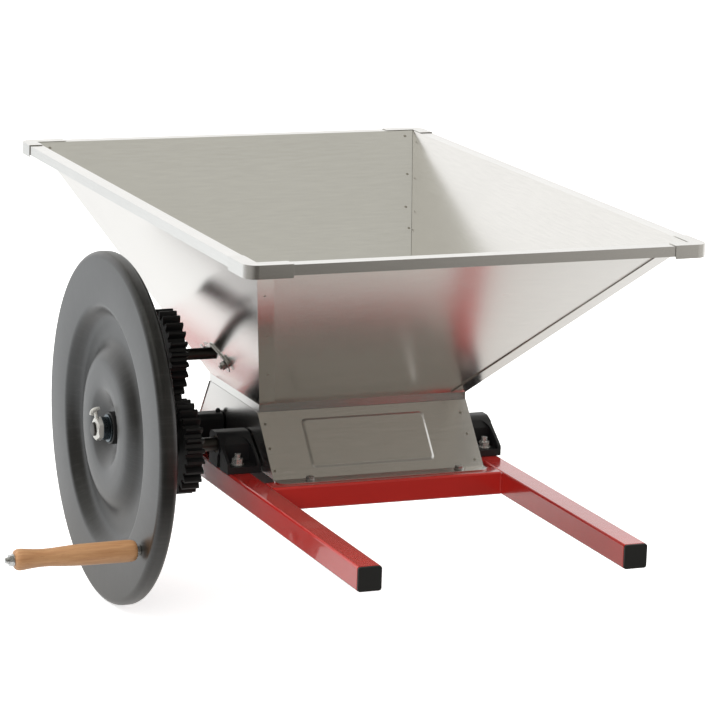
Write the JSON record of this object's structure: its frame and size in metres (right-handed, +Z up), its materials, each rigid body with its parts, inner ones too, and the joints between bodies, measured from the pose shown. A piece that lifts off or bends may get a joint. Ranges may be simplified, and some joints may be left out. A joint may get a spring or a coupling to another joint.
{
  "type": "apple scratter",
  "caption": "Hand-cranked fruit mill: steel hopper on a red tube stand over a toothed rotor and two geared rollers, driven by a large flywheel with a wooden crank handle.",
  "frame": {"origin": "centre of the underside of the front cross member, midway between the two rails", "axes": "+X to the side away from the flywheel, +Y along the rails towards the back, +Z up"},
  "size_m": [0.7714, 1.0674, 0.5361],
  "materials": {
    "red_paint": "gloss",
    "cap_plastic": "matte",
    "stainless": "satin",
    "zinc": "zinc plated",
    "black_metal": "satin",
    "bronze": "plain",
    "wheel_plastic": "satin",
    "gear_plastic": "matte",
    "alloy": "cast",
    "shaft_steel": "plain",
    "wood": "oiled"
  },
  "bodies": {
    "stand": {"rail_left": "red_paint", "rail_right": "red_paint", "cross_member_front": "red_paint", "cross_member_rear": "red_paint", "end_cap_front_left": "cap_plastic", "end_cap_front_right": "cap_plastic", "end_cap_rear_left": "cap_plastic", "end_cap_rear_right": "cap_plastic", "hopper_front_wall": "stainless", "hopper_rear_wall": "stainless", "hopper_left_wall": "stainless", "hopper_right_wall": "stainless", "rim_cap_front_left": "stainless", "rim_cap_front_right": "stainless", "rim_cap_rear_left": "stainless", "rim_cap_rear_right": "stainless", "casing_front_plate": "stainless", "casing_rear_plate": "stainless", "casing_left_plate": "stainless", "casing_right_plate": "stainless", "rotor_bearing_left": "stainless", "rotor_bearing_right": "stainless", "casing_bolt_left": "zinc", "casing_bolt_right": "zinc", "housing_stud_front_left": "zinc", "housing_stud_front_right": "zinc", "housing_stud_rear_left": "zinc", "housing_stud_rear_right": "zinc", "wing_screw_front_left": "zinc", "wing_screw_front_right": "zinc", "wing_screw_rear_left": "zinc", "wing_screw_rear_right": "zinc", "bearing_housing_left": "black_metal", "bearing_housing_right": "black_metal", "housing_screw_left": "black_metal", "housing_screw_right": "black_metal", "bush_front_left": "bronze", "bush_front_right": "bronze", "bush_rear_left": "bronze", "bush_rear_right": "bronze"},
    "drive": {"flywheel": "wheel_plastic", "shaft_rear": "shaft_steel", "gear_rear": "gear_plastic", "roller_rear": "alloy", "hub_collar": "gear_plastic", "hub_washer": "zinc", "hub_sleeve": "shaft_steel", "hub_nut": "zinc", "hub_pin": "zinc", "crank_stud": "zinc", "crank_stud_nut": "zinc", "grip_nut": "zinc"},
    "front_roller": {"shaft_front": "shaft_steel", "gear_front": "gear_plastic", "roller_front": "alloy"},
    "rotor": {"shaft_rotor": "shaft_steel", "gear_rotor": "gear_plastic", "scratter_drum": "stainless"},
    "handle": {"grip": "wood"}
  },
  "joints": [
    {"name": "flywheel_spin", "type": "hinge", "parent": "stand", "child": "drive", "pos_m": [0, 0.21852, 0.059], "axis": [1, 0, 0], "continuous": true},
    {"name": "front_roller_spin", "type": "hinge", "parent": "stand", "child": "front_roller", "pos_m": [0, 0.10662, 0.059], "axis": [1, 0, 0], "continuous": true},
    {"name": "rotor_spin", "type": "hinge", "parent": "stand", "child": "rotor", "pos_m": [0, 0.1725, 0.161], "axis": [1, 0, 0], "continuous": true},
    {"name": "grip_spin", "type": "hinge", "parent": "drive", "child": "handle", "pos_m": [-0.385, 0.06464, -0.0598], "axis": [1, 0, 0], "continuous": true}
  ],
  "couplings": [
    {"joint": "front_roller_spin", "follows": "flywheel_spin", "ratio": -1},
    {"joint": "rotor_spin", "follows": "flywheel_spin", "ratio": -1}
  ]
}
